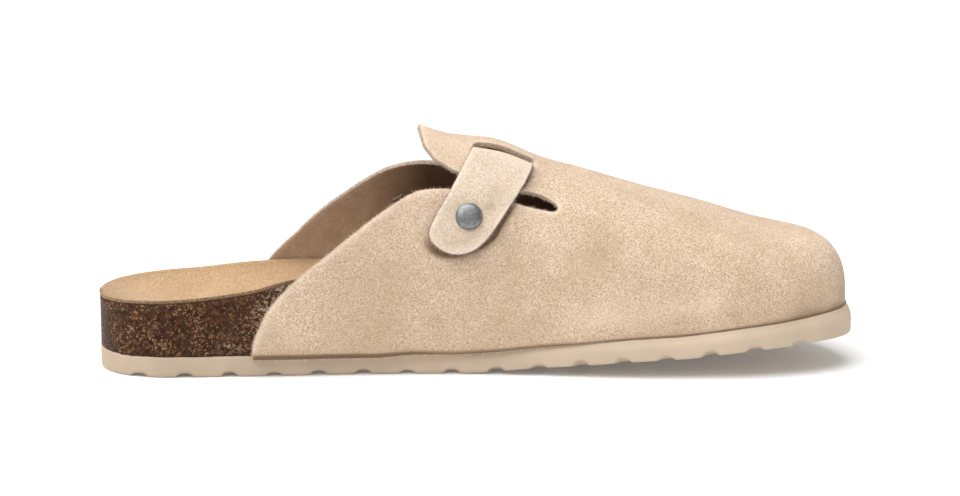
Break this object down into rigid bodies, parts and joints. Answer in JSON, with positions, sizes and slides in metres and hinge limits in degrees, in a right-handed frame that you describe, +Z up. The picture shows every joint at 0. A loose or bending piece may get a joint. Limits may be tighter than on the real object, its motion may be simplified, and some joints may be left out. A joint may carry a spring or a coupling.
{
  "type": "leather footbed mule",
  "caption": "Backless clog-style mule, left shoe: suede upper with a tongue bridge and instep strap on a contoured cork footbed and lugged sole.",
  "frame": {"origin": "on the floor under the middle of the shoe's bounding box", "axes": "+X to the toe, +Y to the outer side of the foot, +Z up"},
  "size_m": [0.28, 0.101, 0.0885],
  "materials": {
    "foam_rubber": "matte foam rubber with lugs",
    "cork": "granular cork, sealed, semi-gloss",
    "lining_suede": "suede lining",
    "suede": "suede with a short nap",
    "strap_suede": "suede with a short nap",
    "gunmetal": "satin grey metal"
  },
  "bodies": {
    "root": {"outsole": "foam_rubber", "cork_footbed": "cork", "footbed_liner": "lining_suede", "upper": "suede", "instep_strap": "strap_suede", "strap_rivet": "gunmetal", "buckle_frame": "gunmetal", "buckle_prong": "gunmetal", "anchor_tab": "strap_suede", "tab_rivet": "gunmetal"}
  },
  "joints": []
}
